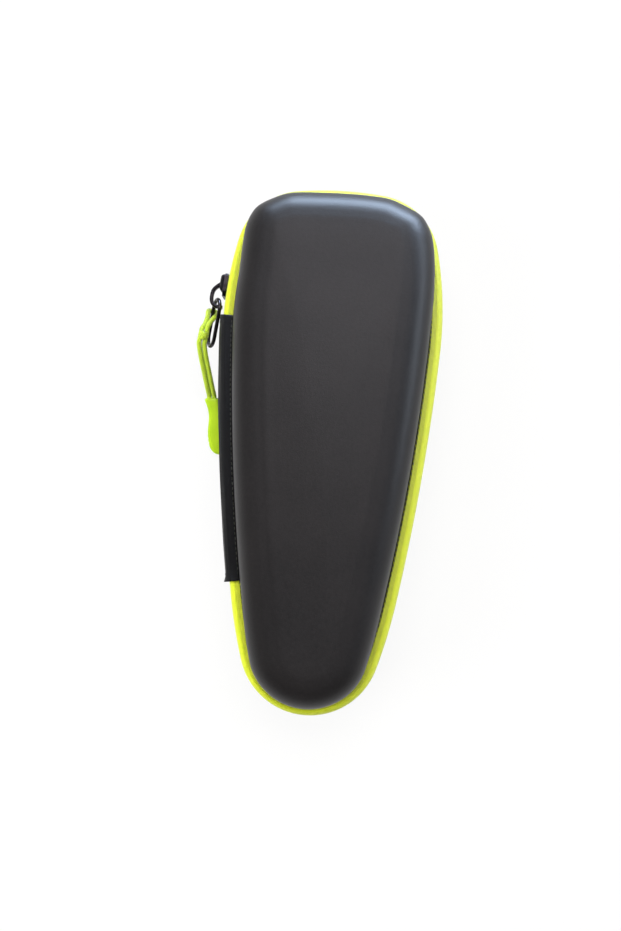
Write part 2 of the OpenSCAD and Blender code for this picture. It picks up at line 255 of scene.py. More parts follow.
def sweep(name, at, section, side, body, slot, node=None, wrap=False):
    """A closed section (outward, height) carried along stations; side is 1 above the parting plane."""
    rows = []
    for run, point, normal in at:
        rows.append([(*(point + o * normal), HALF_DEPTH + side * h) for o, h in section(run)])
    us = [run for run, point, normal in at]
    us.append(2 * us[-1] - us[-2])
    vs = spread(section(at[0][0]))
    return finish_mesh(name, *grid(rows, us, vs, wrap, True, not wrap), body, slot, node)


def ease(value, start, end):
    t = min(1.0, max(0.0, (value - start) / (end - start)))
    return t * t * (3 - 2 * t)


def squared(value, power):
    """A sine or cosine pushed outward, so that a round section turns into a rounded square."""
    return math.copysign(abs(value) ** power, value)


def moulding(name, rows, side, body, slot, node, count=360, swell=None):
    """A closed skin stacked from rows of outward place, height and share of the outline."""
    at = whole_rim(count)
    loops = []
    for index, (o, h, share) in enumerate(rows):
        loop = []
        for run, point, normal in at:
            more = swell(index, point, h) * share ** 3 if swell else 0.0
            loop.append((*((point + (o + more) * normal) * share), HALF_DEPTH + side * h))
        loops.append(loop)
    us = spread([(o, h, share * HALF_FACE) for o, h, share in rows])
    vs = [run for run, point, normal in at] + [ROUND]
    return finish_mesh(name, *grid(loops, us, vs, False, True, True), body, slot, node)


def smooth_chain(points, per_span):
    """Points of a Catmull-Rom curve through the given ones."""
    points = [np.array(p, float) for p in points]
    ends = [2 * points[0] - points[1]] + points + [2 * points[-1] - points[-2]]
    curve = []
    for a, b, c, d in zip(ends, ends[1:], ends[2:], ends[3:]):
        for t in np.arange(per_span) / per_span:
            curve.append(0.5 * (2 * b + (c - a) * t + (2 * a - 5 * b + 4 * c - d) * t ** 2
                                + (3 * b - a - 3 * c + d) * t ** 3))
    return curve + [points[-1]]


def tube_rings(path, radius, sides, closed=False, stretch=(1, 1)):
    """Rings of points round a path, turned as little as possible from one to the next."""
    path = np.array(path, float)
    count = len(path)
    if closed:
        ahead = np.roll(path, -1, 0) - np.roll(path, 1, 0)
    else:
        ahead = np.gradient(path, axis=0)
    ahead /= np.linalg.norm(ahead, axis=1)[:, None]
    side = np.cross(ahead[0], (0.21, 0.33, 0.92))
    rings = []
    angles = np.arange(sides) * 2 * math.pi / sides
    for i in range(count):
        side = side - ahead[i] * np.dot(side, ahead[i])
        side /= np.linalg.norm(side)
        up = np.cross(ahead[i], side)
        r = radius[i] if hasattr(radius, "__len__") else radius
        rings.append([path[i] + r * (stretch[0] * math.cos(a) * side + stretch[1] * math.sin(a) * up)
                      for a in angles])
    return rings


def tube(name, path, radius, sides, body, slot, node=None, closed=False, stretch=(1, 1)):
    rings = tube_rings(path, radius, sides, closed, stretch)
    us = spread(path)
    vs = [k * 6.6 / sides for k in range(sides + 1)]
    return finish_mesh(name, *grid(rings, us, vs, closed, True, not closed), body, slot, node)


def joined(name, parts, body, slot, node=None):
    """One piece from many small nets, such as a row of stitches."""
    verts, faces, uvs = [], [], []
    for v, f, u in parts:
        faces += [tuple(i + len(verts) for i in face) for face in f]
        verts += v
        uvs += u
    return finish_mesh(name, verts, faces, uvs, body, slot, node)


def bead(centre, axis, length, width, height, up):
    """A stitch: a short rounded bar lying along axis."""
    axis = np.array(axis, float) / np.linalg.norm(axis)
    up = np.array(up, float) / np.linalg.norm(up)
    cross = np.cross(up, axis)
    rings = []
    for t in (-1, -0.82, -0.4, 0, 0.4, 0.82, 1):
        r = math.sqrt(max(0.02, 1 - abs(t) ** 3))
        rings.append([centre + axis * t * length / 2 + r * (cross * math.cos(a) * width / 2
                      + up * math.sin(a) * height / 2) for a in np.arange(6) * math.pi / 3])
    return grid(rings, list(range(8)), list(range(8)), False, True, True)


# Materials
class Maker:
    """A material's node tree with short calls for the nodes that the finishes share."""

    def __init__(self, name, color, roughness, metallic=0.0, specular=0.5, sheen=0.0):
        self.material = bpy.data.materials.new(name)
        self.material.use_nodes = True
        self.tree = self.material.node_tree
        self.shader = self.tree.nodes["Principled BSDF"]
        self.set("Base Color", (*color, 1))
        self.set("Roughness", roughness)
        self.set("Metallic", metallic)
        self.set("Specular IOR Level", specular)
        self.set("Sheen Weight", sheen)
        self.normal = None

    def set(self, socket, value):
        self.shader.inputs[socket].default_value = value

    def node(self, kind, **values):
        made = self.tree.nodes.new(kind)
        for key, value in values.items():
            if key in made.inputs:
                made.inputs[key].default_value = value
            else:
                setattr(made, key, value)
        return made

    def link(self, source, target):
        self.tree.links.new(source, target)

    def math(self, kind, a, b=0.0):
        made = self.node("ShaderNodeMath", operation=kind)
        for socket, value in zip(made.inputs, (a, b)):
            if isinstance(value, (int, float)):
                socket.default_value = value
            else:
                self.link(value, socket)
        return made.outputs[0]

    def at_place(self, texture):
        self.link(self.node("ShaderNodeTexCoord").outputs["Object"], texture.inputs["Vector"])

    def noise(self, scale, detail, rough=0.5):
        made = self.node("ShaderNodeTexNoise", Scale=scale, Detail=detail, Roughness=rough)
        self.at_place(made)
        return made.outputs["Fac"]

    def cells(self, scale):
        made = self.node("ShaderNodeTexVoronoi", Scale=scale)
        self.at_place(made)
        return made.outputs["Distance"]

    def axes(self):
        """Distances in metres along a piece and across it, from its UV map."""
        made = self.node("ShaderNodeSeparateXYZ")
        self.link(self.node("ShaderNodeUVMap", uv_map="UVMap").outputs[0], made.inputs[0])
        return made.outputs[0], made.outputs[1]

    def waves(self, value, pitch):
        """0 to 1 waves along a coordinate in metres, one each pitch millimetres."""
        turned = self.math("MULTIPLY", value, 2 * math.pi / (pitch * MM))
        return self.math("ADD", self.math("MULTIPLY", self.math("SINE", turned), 0.5), 0.5)

    def bump(self, height, depth, strength=1.0):
        made = self.node("ShaderNodeBump", Strength=strength, Distance=depth * MM)
        self.link(height, made.inputs["Height"])
        if self.normal:
            self.link(self.normal, made.inputs["Normal"])
        self.normal = made.outputs[0]
        self.link(self.normal, self.shader.inputs["Normal"])

    def colors(self, value, *stops, socket="Base Color"):
        ramp = self.node("ShaderNodeValToRGB")
        elements = ramp.color_ramp.elements
        while len(elements) < len(stops):
            elements.new(0.5)
        for element, (place, color) in zip(elements, stops):
            element.position = place
            element.color = (*color, 1)
        self.link(value, ramp.inputs[0])
        self.link(ramp.outputs[0], self.shader.inputs[socket])

    def roughness(self, value, low, high):
        span = self.math("MULTIPLY", value, high - low)
        self.link(self.math("ADD", span, low), self.shader.inputs["Roughness"])


def skin_material():
    """Matte coated fabric over moulded foam: a fine pebble with faint, larger unevenness."""
    m = Maker("case_skin", (0.016, 0.015, 0.015), 0.44, specular=0.24)
    grain = m.cells(2600.0)
    soft = m.noise(900.0, 4.0)
    broad = m.noise(38.0, 2.0)
    m.colors(m.math("ADD", m.math("MULTIPLY", soft, 0.5), m.math("MULTIPLY", broad, 0.5)),
             (0.3, (0.0100, 0.0092, 0.0095)), (0.7, (0.0160, 0.0142, 0.0145)))
    m.roughness(soft, 0.36, 0.48)
    m.bump(grain, 0.035, 0.5)
    m.bump(soft, 0.05, 0.5)
    m.bump(broad, 0.25, 0.35)
    return m.material


def tape_material():
    """Lime knitted tape: chevron rows on the flat and fine ribs over the rolled edge."""
    m = Maker("zip_tape", (0.70, 0.84, 0.045), 0.62, specular=0.3, sheen=0.15)
    u, v = m.axes()
    column = m.math("FRACT", m.math("MULTIPLY", v, 1 / (1.1 * MM)))
    fold = m.math("ABSOLUTE", m.math("SUBTRACT", column, 0.5))
    chevron = m.waves(m.math("ADD", u, m.math("MULTIPLY", fold, 1.3 * MM)), 0.85)
    rows = m.waves(v, 0.55)
    knit = m.math("SQRT", m.math("MULTIPLY", chevron, rows))
    flat = m.math("LESS_THAN", v, 2.35 * MM)
    ribs = m.waves(u, 0.6)
    rolled = m.math("SUBTRACT", 1.0, flat)
    low_ribs = m.math("MULTIPLY", ribs, m.math("MULTIPLY", rolled, 0.4))
    height = m.math("ADD", m.math("MULTIPLY", knit, flat), low_ribs)
    face = m.math("MULTIPLY", flat, m.math("SUBTRACT", m.math("MULTIPLY", knit, 0.9), 0.12))
    edge = m.math("MULTIPLY", rolled, m.math("ADD", m.math("MULTIPLY", ribs, 0.12), 0.24))
    mottle = m.math("MULTIPLY", m.math("SUBTRACT", m.noise(800.0, 3.0), 0.5), 0.4)
    m.colors(m.math("ADD", m.math("ADD", face, edge), mottle),
             (0.02, (0.20, 0.25, 0.004)), (0.2, (0.62, 0.74, 0.012)), (0.62, (0.88, 0.90, 0.075)))
    m.bump(height, 0.12, 0.9)
    m.bump(m.noise(2500.0, 2.0), 0.05, 0.5)
    return m.material


def coil_material():
    """Lime nylon monofilament."""
    m = Maker("zip_coil", (0.50, 0.66, 0.02), 0.33, specular=0.5)
    value = m.noise(600.0, 2.0)
    m.colors(value, (0.3, (0.42, 0.58, 0.012)), (0.7, (0.58, 0.74, 0.03)))
    m.bump(value, 0.02)
    return m.material


def hinge_material():
    """Near-black satin weave with lengthwise creases."""
    m = Maker("hinge_fabric", (0.005, 0.005, 0.0055), 0.5, specular=0.2, sheen=0.02)
    u, v = m.axes()
    slanted = m.math("ADD", v, m.math("MULTIPLY", u, 0.35))
    weave = m.math("MULTIPLY", m.waves(u, 0.42), m.waves(slanted, 0.3))
    m.colors(m.math("ADD", m.math("MULTIPLY", weave, 0.6), m.math("MULTIPLY", m.noise(300.0, 3.0), 0.4)),
             (0.1, (0.0022, 0.0022, 0.0026)), (0.8, (0.0075, 0.0075, 0.0082)))
    m.roughness(m.noise(120.0, 2.0), 0.42, 0.6)
    m.bump(weave, 0.06, 0.8)
    return m.material


def cord_material(name, low, high):
    """Braided cord: two sets of strands crossing at an angle."""
    m = Maker(name, high, 0.6, specular=0.3, sheen=0.2)
    u, v = m.axes()
    left = m.waves(m.math("ADD", u, v), 0.95)
    right = m.waves(m.math("SUBTRACT", u, v), 0.95)
    braid = m.math("MAXIMUM", left, right)
    m.colors(m.math("ADD", m.math("MULTIPLY", braid, 0.7), m.math("MULTIPLY", m.noise(1500.0, 2.0), 0.3)),
             (0.25, low), (0.8, high))
    m.bump(braid, 0.16, 0.9)
    m.bump(m.noise(4000.0, 2.0), 0.04, 0.6)
    return m.material


def tag_material():
    """Soft moulded rubber with a faint bloom."""
    m = Maker("tag_rubber", (0.46, 0.70, 0.012), 0.42, specular=0.45)
    cloud = m.noise(110.0, 3.0)
    fine = m.noise(2200.0, 2.0)
    m.colors(cloud, (0.3, (0.40, 0.64, 0.008)), (0.7, (0.52, 0.76, 0.018)))
    m.roughness(fine, 0.36, 0.52)
    m.bump(fine, 0.03, 0.7)
    return m.material


def metal_material(name, low, high, roughness):
    """Black nickel with wear that brightens it in small patches."""
    m = Maker(name, high, roughness, metallic=1.0)
    wear = m.noise(420.0, 4.0, rough=0.65)
    m.colors(wear, (0.35, low), (0.68, high))
    m.roughness(m.noise(900.0, 3.0), roughness - 0.07, roughness + 0.12)
    m.bump(m.noise(1300.0, 3.0), 0.03, 0.5)
    return m.material


def nap_material():
    """Short brushed lining."""
    m = Maker("lining", (0.045, 0.045, 0.05), 0.9, specular=0.2, sheen=0.5)
    pile = m.noise(2400.0, 4.0)
    m.colors(m.math("ADD", m.math("MULTIPLY", pile, 0.6), m.math("MULTIPLY", m.noise(60.0, 2.0), 0.4)),
             (0.3, (0.030, 0.030, 0.034)), (0.75, (0.062, 0.062, 0.068)))
    m.bump(pile, 0.16, 0.8)
    return m.material


def ribbed_material(name, color, pitch, across):
    """Woven tape with ribs: across gives the ribs' direction."""
    m = Maker(name, color, 0.75, specular=0.3, sheen=0.15)
    u, v = m.axes()
    ribs = m.waves(u if across else v, pitch)
    cross = m.waves(v if across else u, pitch * 0.7)
    weave = m.math("ADD", m.math("MULTIPLY", ribs, 0.75), m.math("MULTIPLY", cross, 0.25))
    dark = tuple(x * 0.5 for x in color)
    light = tuple(x * 1.4 for x in color)
    m.colors(weave, (0.15, dark), (0.85, light))
    m.bump(weave, 0.12, 0.8)
    return m.material


def net_material():
    """Knitted net: round holes in staggered rows."""
    m = Maker("mesh", (0.022, 0.022, 0.024), 0.6, specular=0.35, sheen=0.1)
    u, v = m.axes()
    left = m.waves(m.math("ADD", u, v), 2.4)
    right = m.waves(m.math("SUBTRACT", u, v), 2.4)
    holes = m.math("MULTIPLY", left, right)
    m.bump(m.math("SUBTRACT", 1.0, holes), 0.2, 0.9)
    m.colors(m.noise(900.0, 2.0), (0.3, (0.016, 0.016, 0.018)), (0.7, (0.032, 0.032, 0.035)))
    solid = m.math("SUBTRACT", 1.0, m.math("GREATER_THAN", holes, 0.34))
    m.link(solid, m.shader.inputs["Alpha"])
    return m.material


MATERIALS = {
    "case_skin": skin_material(),
    "lining": nap_material(),
    "binding": ribbed_material("binding", (0.018, 0.018, 0.020), 0.6, True),
    "zip_tape": tape_material(),
    "zip_coil": coil_material(),
    "hinge_fabric": hinge_material(),
    "elastic": ribbed_material("elastic", (0.020, 0.020, 0.022), 1.1, False),
    "mesh": net_material(),
    "slider_metal": metal_material("slider_metal", (0.016, 0.0145, 0.0165), (0.048, 0.043, 0.049), 0.3),
    "wire_metal": metal_material("wire_metal", (0.022, 0.020, 0.023), (0.075, 0.069, 0.077), 0.2),
    "cord": cord_material("cord", (0.30, 0.52, 0.012), (0.62, 0.80, 0.045)),
    "tag_rubber": tag_material(),
    # Dark thread; on the zip band its dark stitches also paint the shade of the gap by the wall
    "thread_and_gap_shade": ribbed_material("thread_and_gap_shade", (0.030, 0.032, 0.016), 0.5, True),
}


# Shells and linings
def softened(rows, wall):
    """The same rows with the break between flat face and rounded edge eased over a few millimetres."""
    reach = [o - (1 - share) * HALF_FACE for o, h, share in rows]
    heights = [h for o, h, share in rows]
    eased = []
    for (o, h, share), place in zip(rows, reach):
        span = min(6.0, 0.5 * (wall - place))
        around = np.interp(np.linspace(place - span, place + span, 17), reach, heights)
        eased.append((o, float(around.mean()), share))
    return eased


def dome_rows(inset, low, lift, fillet):
    """Rows from the middle of the flat face over the rounded edge and down the wall."""
    round_o = -WALL_INSET - DRAFT - EDGE_R
    round_h = HALF_DEPTH - EDGE_R
    radius = EDGE_R - inset
    top = HALF_DEPTH - inset
    wall = -WALL_INSET - inset
    rows = [(round_o, top + lift * (1 - k * k) ** 2, k) for k in np.linspace(0.02, 0.985, 26)]
    for a in np.linspace(90, 4, 24):
        turn = math.radians(a)
        rows.append((round_o + radius * math.cos(turn), round_h + radius * math.sin(turn), 1))
    if lift and not inset:
        rows = softened(rows, wall)
    for t in np.linspace(0.12, 1, 6):
        height = round_h + (low + fillet - round_h) * t
        rows.append((wall - DRAFT * (1 - t), height, 1))
    if fillet:
        for a in (25, 55, 90):
            turn = math.radians(a)
            rows.append((wall + fillet * (1 - math.cos(turn)), low + fillet * (1 - math.sin(turn)), 1))
    return rows


def shell_rows(lift):
    top = FLANGE_H + FLANGE_T
    outer = dome_rows(0, top, lift, 0.35)
    rim = [(-FLANGE_INSET - 0.2, top, 1), (-FLANGE_INSET, top - 0.2, 1),
           (-FLANGE_INSET, FLANGE_H + 0.2, 1), (-FLANGE_INSET - 0.2, FLANGE_H, 1)]
    return outer + rim + dome_rows(SHELL_T, FLANGE_H, lift, 0)[::-1]


def lining_rows(lift):
    outer = SHELL_T + SEAM
    low = FLANGE_H + SEAM
    return dome_rows(outer, low, lift, 0) + dome_rows(outer + LINING_T, low, lift, 0)[::-1]


OUTER_ROWS = len(dome_rows(0, FLANGE_H + FLANGE_T, CROWN, 0.35))


def lid_swell(index, point, height):
    """The lid's foam bulges a little over the band round the head and, less, round the foot."""
    if index >= OUTER_ROWS:
        return 0.0
    x, y = point
    head = 3.0 * (ease(y, 45, 92) if x > 0 else ease(y, 66, 100))
    head -= ease(y, 96, 106) * (1.7 + 0.9 * ease(x, -28, -4) - 0.5 * ease(x, 0, 25))
    foot = 1.2 * ease(-y, 60, 100)
    return (head + foot) * ease(height, FLANGE_H + FLANGE_T + 1.5, 17)


moulding("lid_skin", shell_rows(CROWN), 1, "lid", "case_skin", "front_shell", swell=lid_swell)
moulding("base_skin", shell_rows(0), -1, "base", "case_skin", "rear_shell")
moulding("lid_lining", lining_rows(CROWN), 1, "lid", "lining", "front_lining", 240)
moulding("base_lining", lining_rows(0), -1, "base", "lining", "rear_lining", 240)


def binding_section(run):
    inner, outer = -WALL_INSET - SHELL_T, SEWN
    top, low = FLANGE_H - SEAM, FLANGE_H - SEAM - 0.6
    return [(inner, top), (inner, low + 0.15), (inner + 0.25, low), (outer - 0.25, low),
            (outer, low + 0.15), (outer, top)]


WHOLE = whole_rim(300)
sweep("lid_binding", WHOLE, binding_section, 1, "lid", "binding", "front_binding", True)
sweep("base_binding", WHOLE, binding_section, -1, "base", "binding", "rear_binding", True)


# Zip band: knitted tape rolled over the edge, coil behind it and dark stitches next to the shell, which also
# paint the shade of the gap by the wall
def gap_at(run):
    """Half the gap between the two zip halves, wider where the slider has parted them."""
    on_left = FLANK_END - 1.0 < run % ROUND < ZIP_TOP + 1.0
    apart = ease(run % ROUND, SLIDER - 9.0, SLIDER) if on_left else 0.0
    return CLOSED_GAP + (OPEN_GAP - CLOSED_GAP) * apart


def tape_section(run):
    gap = gap_at(run)
    face = [(SEWN, BAND_H - 0.02), (SEWN + 0.6, BAND_H), (-3.5, BAND_H), (-3.05, BAND_H - 0.06),
            (-2.8, BAND_H - 0.24), (-2.55, BAND_H - 0.1), (-2.15, BAND_H - 0.14), (-1.65, BAND_H - 0.4),
            (-1.2, BAND_H - 0.8), (-0.78, BAND_H - 1.4), (-0.42, BAND_H - 2.2), (-0.16, BAND_H - 3.3),
            (-0.02, gap + 2.4), (0, gap + 1.2), (-0.06, gap)]
    back = [(-0.56, gap), (-0.6, gap + 2.2), (-0.78, BAND_H - 3.1), (-1.1, BAND_H - 2.3),
            (-1.7, BAND_H - 1.55), (-2.2, BAND_H - 1.0), (-2.5, BAND_H - 0.6), (SEWN, BAND_H - 0.58)]
    return face + back


def coil(name, start, end, side, body, node):
    """A flattened helix along the tape's edge; the lid's turns fall between the base's."""
    shift = math.pi if side > 0 else 0.0
    path = []
    for run, point, normal in stations(start, end, int((end - start) / COIL_PITCH * 10)):
        turn = 2 * math.pi * (run - start) / COIL_PITCH + shift
        out = -1.45 + 0.46 * math.cos(turn)
        height = gap_at(run) + 1.1 + 0.86 * math.sin(turn)
        path.append((*(point + out * normal), HALF_DEPTH + side * height))
    return tube(name, path, COIL_WIRE_R, 6, body, "zip_coil", node)


def stitch_row(start, end, side, out, height, pitch, length, width):
    nets = []
    for run, point, normal in stations(start, end, int((end - start) / pitch)):
        centre = np.array([*(point + out * normal), HALF_DEPTH + side * height])
        axis = (-normal[1], normal[0], 0)
        nets.append(bead(centre, axis, length, width, 0.34, (0, 0, side)))
    return nets


def stitches_and_gap_shade(name, start, end, side, body):
    # Dark stitches next to the shell; their dark dots also paint the shade of the gap between tape and wall
    nets = stitch_row(start, end, side, STITCH_SHADE_ROW, BAND_H + 0.02, 2.1, 1.35, 0.42)
    joined(name, nets, body, "thread_and_gap_shade")


def zip_half(body, side, node_word):
    start, end = ZIP_LOW, ROUND + (ZIP_TOP if side < 0 else FLANK_END)
    at = stations(start, end, 520)
    sweep(body + "_zip_tape", at, tape_section, side, body, "zip_tape", node_word + "_zip_tape")
    coil(body + "_zip_coil", start, end, side, body, node_word + "_zip_coil")
    stitches_and_gap_shade(body + "_stitches_and_gap_shade", start, end, side, body)


zip_half("lid", 1, "front")
zip_half("base", -1, "rear")


def across_hinge(piece):
    """The piece's placement is baked into its mesh."""
    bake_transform(piece)


def zip_end():
    """The lid's soft end of the zip, between the end of the flank and the hinge."""
    at = stations(FLANK_END, ZIP_TOP, 60)
    tape = sweep("lid_tape_end", at, tape_section, 1, None, "zip_tape", "front_tape_end")
    across_hinge(tape)
    teeth = coil("lid_coil_end", FLANK_END, ZIP_TOP, 1, None, "front_coil_end")
    across_hinge(teeth)
    # Dark stitches along the soft end, which also paint the shade of the gap by the wall
    stitches_and_gap_shade("lid_end_stitches_and_gap_shade", FLANK_END + 1, ZIP_TOP - 1, 1, "lid")


zip_end()


# Fabric hinge: a cover outside and a liner inside, both sewn down along each half
def relief_of(run, share, phases):
    """Height of the hinge cloth's face: creases along its length, hems and a flare at its ends."""
    length = HINGE_LOW - HINGE_TOP
    t = (run - HINGE_TOP) / length
    to_end = min(run - HINGE_TOP, HINGE_LOW - run)
    middle = math.sqrt(max(0.0, math.sin(math.pi * share)))
    broad = 5 * share + 0.25 * math.sin(3.1 * t + phases[0])
    fine = 9 * share + 0.3 * math.sin(5.3 * t + phases[2])
    crease = 0.24 * math.sin(2 * math.pi * broad + phases[1])
    crease += 0.14 * math.sin(2 * math.pi * fine + phases[3])
    hem = 0.3 / (1 + math.exp((to_end - 3.4) * 4))
    groove = 0.22 * math.exp(-((to_end - 2.4) / 0.35) ** 2)
    flare = 0.9 * math.exp((run - HINGE_LOW) / 1.5)
    return (crease * min(1.0, to_end / 5) + hem - groove + flare) * middle


def hinge_cloth(name, node, half, thickness):
    """Cloth round the band between the hinge's ends; a negative thickness grows into the case."""
    dense = smooth_chain(half, 4)
    chain = dense + [p * (1, -1) for p in dense[::-1]]
    last = len(chain) - 1
    places = spread(chain)[:last + 1]
    phases = np.random.default_rng(7).uniform(0, 2 * math.pi, 4)
    outs = []
    for k in range(last + 1):
        ahead = chain[min(k + 1, last)] - chain[max(k - 1, 0)]
        outs.append(np.array([-ahead[1], ahead[0]]) / np.linalg.norm(ahead))
    at = stations(HINGE_TOP, HINGE_LOW, 150)
    rows = []
    for run, point, normal in at:
        near, far = [], []
        for k, p in enumerate(chain):
            share = places[k] / places[last]
            wave = 0.4 * math.sin(9 * share + 1.0) * max(0.0, 1 - (run - HINGE_TOP) / 6)
            spot = point + np.array([-normal[1], normal[0]]) * wave
            face = thickness + math.copysign(0.06 + relief_of(run, share, phases), thickness)
            for line, amount in ((near, math.copysign(0.04, thickness)), (far, face)):
                q = p + outs[k] * amount
                line.append((*(spot + q[0] * normal), HALF_DEPTH + q[1]))
        rows.append(far + near[::-1])
    us = [run for run, point, normal in at] + [HINGE_LOW + 0.7]
    vs = places + [places[last] + v for v in places] + [2 * places[last] + 1]
    piece = finish_mesh(name, *grid(rows, us, vs, False, True, True), None, "hinge_fabric", node)
    across_hinge(piece)


COVER_IN = BAND_H + 0.1
hinge_cloth("hinge_cloth", "hinge_cover",
            [(-WALL_INSET + 0.5, COVER_IN), (-3, COVER_IN), (-1.3, COVER_IN - 0.5), (0.1, 5.2), (0.65, 2.5),
             (0.72, 0.8)], 0.5)
LINER_H = FLANGE_H - 0.8
hinge_cloth("hinge_backing", "hinge_liner",
            [(-WALL_INSET - SHELL_T + 0.2, LINER_H), (-4.9, LINER_H - 0.05), (-3.3, 2.8), (-3, 0.9)], -0.45)


def hinge_stitches():
    """Rows of stitches that hold the cover's two long edges."""
    for body, side in (("lid", 1), ("base", -1)):
        nets = stitch_row(HINGE_TOP + 1, HINGE_LOW - 1, side, -WALL_INSET + 1.1, COVER_IN + 0.6,
                          2.0, 1.3, 0.36)
        joined(body + "_hinge_stitches", nets, body, "thread_and_gap_shade")


hinge_stitches()


# Inside of the case: elastic strap with sewn ends, and a net pocket with an elastic top
def half_width(y, out):
    edge = [place_on_rim(a) for a in np.linspace(-89.9, 89.9, 240)]
    points = np.array([p + out * n for p, n in edge])
    return float(np.interp(y, points[:, 1], points[:, 0]))


def panel(name, low_y, high_y, height, thickness, side, body, slot, node, ridge=0.0):
    """A band or sheet stretched between the two long walls, from low_y to high_y."""
    ys = np.linspace(low_y, high_y, 40)
    xs = np.linspace(-1, 1, 33)
    top, low = [], []
    for y in ys:
        wide = half_width(y, INSIDE)
        share = (y - low_y) / (high_y - low_y)
        roll = ridge * math.sin(math.pi * share) ** 0.4
        top.append([(x * wide, y, HALF_DEPTH + side * (height + thickness + roll)) for x in xs])
        low.append([(x * wide, y, HALF_DEPTH + side * height) for x in xs])
    rings = [a + b[::-1] for a, b in zip(top, low)]
    vs = [x * HALF_FACE for x in xs] + [(2 - x) * HALF_FACE for x in xs] + [3 * HALF_FACE + 1]
    return finish_mesh(name, *grid(rings, list(ys) + [high_y + 1], vs, False, True, True), body, slot, node)


STRAP_H = FLANGE_H + 1.2
POCKET_H = FLANGE_H + 3
panel("strap_band", STRAP_Y - STRAP_W / 2, STRAP_Y + STRAP_W / 2, STRAP_H, 0.85, -1, "base", "elastic",
      "elastic_strap", 0.12)


def strap_tabs():
    """Folded ends of the strap against both walls, under its face."""
    section = [(-5.4, -0.06), (-5.7, -0.3), (-5.4, -0.55), (-0.2, -0.6), (0, -0.3), (-0.2, -0.06)]
    nets = []
    for x_side in (-1, 1):
        rings = []
        for y in np.linspace(STRAP_Y - STRAP_W / 2 + 0.4, STRAP_Y + STRAP_W / 2 - 0.4, 16):
            edge = half_width(y, INSIDE)
            rings.append([(x_side * (edge + dx), y, HALF_DEPTH - STRAP_H - dz) for dx, dz in section])
        nets.append(grid(rings, list(range(17)), list(range(7)), False, True, True))
    joined("strap_tabs", nets, "base", "binding", "strap_anchors")
    wide = half_width(STRAP_Y, INSIDE)
    nets = []
    for x_side in (-1, 1):
        for y in np.arange(STRAP_Y - STRAP_W / 2 + 1.5, STRAP_Y + STRAP_W / 2 - 1, 1.8):
            centre = np.array([x_side * (wide - 3.2), y, HALF_DEPTH - STRAP_H - 0.9])
            nets.append(bead(centre, (0, 1, 0), 1.2, 0.4, 0.5, (0, 0, -1)))
    joined("strap_stitches", nets, "base", "thread_and_gap_shade")


strap_tabs()
foot_edge = ARCS[0][1][1] - (FOOT_R + INSIDE) + 0.35
net = panel("pocket_net", foot_edge, POCKET_Y, POCKET_H, 0.3, 1, "lid", "mesh", "mesh_pocket")
hem = panel("pocket_hem", POCKET_Y + SEAM, POCKET_Y + HEM_W, POCKET_H - 0.2, 0.8, 1, "lid", "elastic",
            "pocket_elastic", 0.12)


# Slider, pull and tag
def dress_node(name, slot):
    """The CAD solid keeps its shape and gets a finish and rounded edges."""
    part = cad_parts[name]
    for held in part.material_slots:
        held.material = MATERIALS[slot]
    bevel = part.modifiers.new("rounded_edges", "BEVEL")
    bevel.width = 0.22 * MM
    bevel.segments = 3
    bevel.limit_method = "ANGLE"
    bevel.angle_limit = math.radians(28)


dress_node("slider_body", "slider_metal")
dress_node("zip_end_stops", "binding")


def turn(angle, axis):
    return Matrix.Rotation(math.radians(angle), 4, axis)


def rim_frame(angle):
    """X points outward, Y along the rim towards the foot on this side, Z up."""
    point, normal = place_on_rim(angle)
    return Matrix.Translation((*point, HALF_DEPTH)) @ turn(angle, "Z")


ON_SLIDER = rim_frame(SLIDER_A)
AT_PIN = ON_SLIDER @ Matrix.Translation((3.3, SLIDER_L / 2 + 1.1, 0))
TO_LOOP = turn(-16, "X") @ turn(-3, "Z") @ turn(-26, "Y")
IN_LOOP = AT_PIN @ TO_LOOP


def placed(frame_matrix, points):
    return [np.array(frame_matrix @ Vector(tuple(float(x) for x in p))) for p in points]


def slider_bridge():
    """Angular bridge over the wire loop: a rounded bar bent in the plane across the slider."""
    line = [(0.9, -0.9), (2.7, -1.0), (4.2, 0.1), (5.6, 1.7), (6.15, 3.4),
            (6.15, 6.0), (5.5, 7.8), (4.0, 8.8), (2.4, 9.0), (1.1, 9.0)]
    dense = smooth_chain([(x, y, 0.0) for x, y in line], 6)
    rings = []
    for k, p in enumerate(dense):
        ahead = dense[min(k + 1, len(dense) - 1)] - dense[max(k - 1, 0)]
        side = np.array([ahead[1], -ahead[0], 0]) / np.linalg.norm(ahead)
        ring = []
        for a in np.arange(16) * math.pi / 8:
            thick = squared(math.cos(a), 0.45) * 0.75
            wide = squared(math.sin(a), 0.45) * 1.35
            ring.append(p + side * thick + np.array([0, 0, wide]))
        rings.append(placed(ON_SLIDER, ring))
    us = spread([ring[0] for ring in rings])
    vs = [k * 0.55 for k in range(17)]
    net = grid(rings, us, vs, False, True, True)
    finish_mesh("bridge_bar", *net, "slider", "slider_metal", "slider_bridge")


def slider_crown():
    """Raised boss on the outer plate, with rounded edges and a step where the bridge springs."""
    steps = [(1.42, 3.9, 3.7, -1.0), (1.7, 3.95, 3.75, -1.0), (2.5, 3.6, 3.3, -1.1), (3.1, 3.2, 2.8, -1.3),
             (3.45, 2.7, 2.2, -1.4), (3.55, 1.6, 1.2, -1.5), (3.56, 0.3, 0.2, -1.5)]
    angles = np.arange(40) * math.pi / 20
    rings = []
    for rise, half_y, half_z, shift in steps:
        rings.append(placed(ON_SLIDER, [(rise, shift + squared(math.cos(a), 0.4) * half_y,
                                         squared(math.sin(a), 0.4) * half_z) for a in angles]))
    vs = [k * 0.5 for k in range(41)]
    net = grid(rings, list(range(8)), vs, False, True, True)
    finish_mesh("slider_boss", *net, "slider", "slider_metal")


